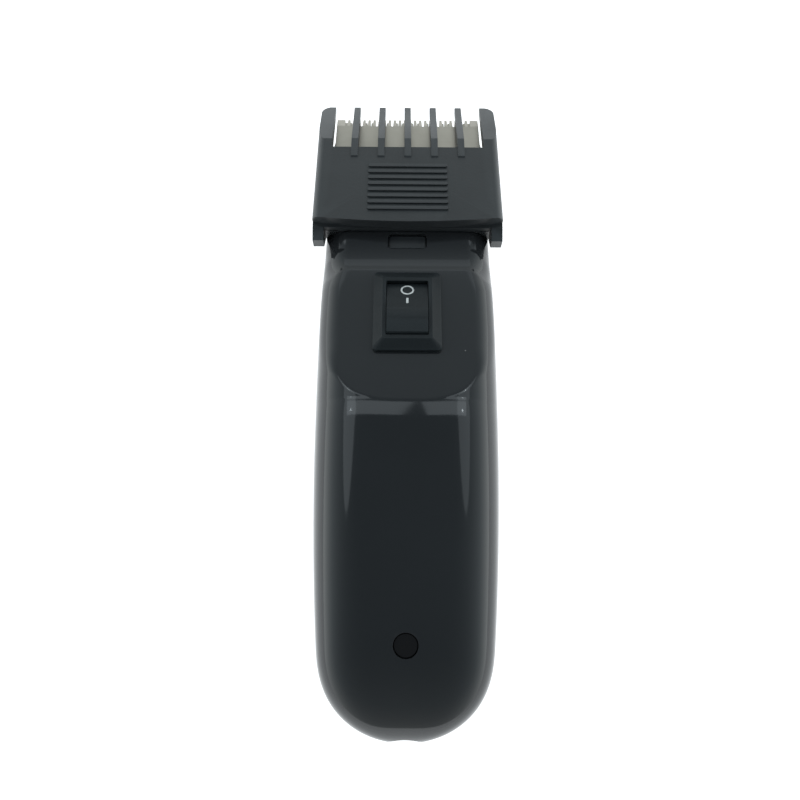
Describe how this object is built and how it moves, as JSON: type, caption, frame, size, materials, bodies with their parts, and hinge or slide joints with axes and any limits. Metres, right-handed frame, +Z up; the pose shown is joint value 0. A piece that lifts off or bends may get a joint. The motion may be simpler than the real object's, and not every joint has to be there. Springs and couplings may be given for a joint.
{
  "type": "hair clipper",
  "caption": "Cordless hair clipper: glossy barrel handle with rocker switch and charge light, steel blade driven by an eccentric motor, slide-on cutting guide comb",
  "frame": {"origin": "middle of the footprint on the surface the clipper lies on, back down", "axes": "+Y along the handle toward the blade and the comb, +Z up through the side with the switch, +X to the right when the blade points away from the viewer"},
  "size_m": [0.0436, 0.1529, 0.0333],
  "materials": {
    "shell_black": "polished moulded ABS",
    "head_black": "semi-gloss moulded ABS",
    "comb_plastic": "satin moulded plastic",
    "switch_black": "fine matte nylon",
    "blade_steel": "ground stainless steel",
    "screw_steel": "zinc plated",
    "spring_steel": "bright spring steel",
    "motor_steel": "plated steel",
    "nickel_strip": "nickel strip",
    "contact_brass": "tinned brass",
    "copper_wire": "enamelled copper",
    "white_nylon": "natural acetal",
    "lens_dark": "smoked clear plastic",
    "led_red": "tinted epoxy",
    "board_green": "solder mask",
    "chip_black": "moulded epoxy",
    "capacitor_sleeve": "printed sleeve, plain",
    "resistor_body": "painted ceramic",
    "cell_wrap": "shrink wrap, plain",
    "motor_cap": "moulded nylon",
    "magnet_ferrite": "sintered ferrite",
    "lead_red": "PVC insulation",
    "lead_black": "PVC insulation"
  },
  "bodies": {
    "case": {"front_shell": "shell_black", "rear_shell": "shell_black", "shell_screws": "screw_steel", "head_frame": "head_black", "blade_screws": "screw_steel", "fixed_blade": "blade_steel", "blade_spring": "spring_steel", "switch_housing": "switch_black", "switch_terminals": "contact_brass", "indicator_lens": "lens_dark", "indicator_led": "led_red", "circuit_board": "board_green", "charge_chip": "chip_black", "capacitor": "capacitor_sleeve", "resistor": "resistor_body", "diode": "chip_black", "charge_jack": "chip_black", "jack_contacts": "contact_brass", "battery_cell": "cell_wrap", "battery_tabs": "nickel_strip", "motor_can": "motor_steel", "motor_end_cap": "motor_cap", "motor_magnets": "magnet_ferrite", "motor_bushes": "contact_brass", "motor_terminals": "contact_brass", "motor_brushes": "contact_brass", "motor_bracket": "motor_cap", "lead_jack_plus": "lead_red", "lead_jack_minus": "lead_black", "lead_cell_board": "lead_black", "lead_cell_switch": "lead_red", "lead_switch_motor": "lead_red", "lead_motor_board": "lead_black"},
    "guide": {"comb": "comb_plastic"},
    "rocker": {"switch_rocker": "switch_black"},
    "rotor": {"motor_shaft": "spring_steel", "rotor_core": "motor_steel", "rotor_windings": "copper_wire", "commutator": "copper_wire", "eccentric_cam": "white_nylon"},
    "cutter": {"moving_blade": "blade_steel", "drive_block": "white_nylon"}
  },
  "joints": [
    {"name": "comb_slide", "type": "slide", "parent": "case", "child": "guide", "axis": [0, 1, 0], "range_m": [0, 0.04]},
    {"name": "rocker_tilt", "type": "hinge", "parent": "case", "child": "rocker", "pos_m": [0, 0.01425, 0.02785], "axis": [1, 0, 0], "range_deg": [0, 12]},
    {"name": "rotor_spin", "type": "hinge", "parent": "case", "child": "rotor", "pos_m": [0, 0.0374, 0.0138], "axis": [0, 1, 0], "continuous": true},
    {"name": "cutter_slide", "type": "slide", "parent": "case", "child": "cutter", "axis": [1, 0, 0], "range_m": [-0.0008, 0.0008]}
  ]
}
